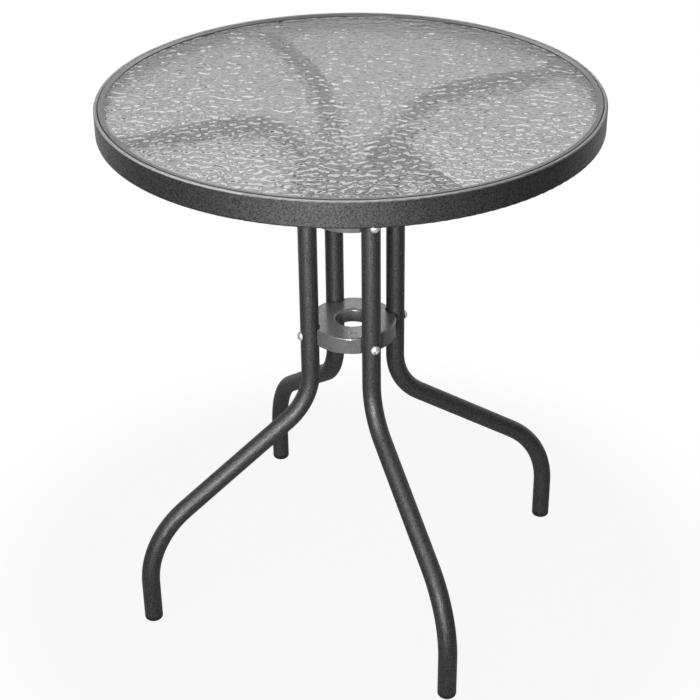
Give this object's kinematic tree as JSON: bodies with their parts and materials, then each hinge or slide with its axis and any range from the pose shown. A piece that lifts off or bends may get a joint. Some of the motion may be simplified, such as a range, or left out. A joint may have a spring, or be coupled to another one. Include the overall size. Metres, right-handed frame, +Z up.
{
  "type": "glass top table",
  "caption": "Round garden bistro table: a patterned glass pane in a steel rim, carried by bent tube legs tied together by pressed rings.",
  "frame": {"origin": "on the floor, under the centre of the table", "axes": "+Z up; the four legs stand on the diagonals between +X, +Y, -X and -Y"},
  "size_m": [0.6099, 0.61, 0.7],
  "materials": {
    "paint": "satin charcoal powder coat with a fine grain",
    "glass": "tempered glass with a water-drop pattern",
    "seal": "soft grey strip",
    "zinc": "bright zinc plate",
    "foot_plastic": "matt black"
  },
  "bodies": {
    "frame": {"rim_band": "paint", "rim_tabs": "paint", "rim_washers": "zinc", "rim_screws": "zinc", "leg_back_right": "paint", "leg_back_left": "paint", "leg_front_left": "paint", "leg_front_right": "paint", "foot_plug_back_right": "foot_plastic", "foot_plug_back_left": "foot_plastic", "foot_plug_front_left": "foot_plastic", "foot_plug_front_right": "foot_plastic", "lower_ring": "paint", "lower_ring_screws": "zinc", "lower_ring_washers": "zinc", "lower_ring_nuts": "zinc", "upper_ring": "paint", "upper_ring_screws": "zinc", "upper_ring_washers": "zinc", "upper_ring_nuts": "zinc"},
    "glass_top": {"glass_pane": "glass", "seal_strip": "seal"}
  },
  "joints": [
    {"name": "glass_lift", "type": "slide", "parent": "frame", "child": "glass_top", "axis": [0, 0, 1], "range_m": [0, 0.06]}
  ]
}
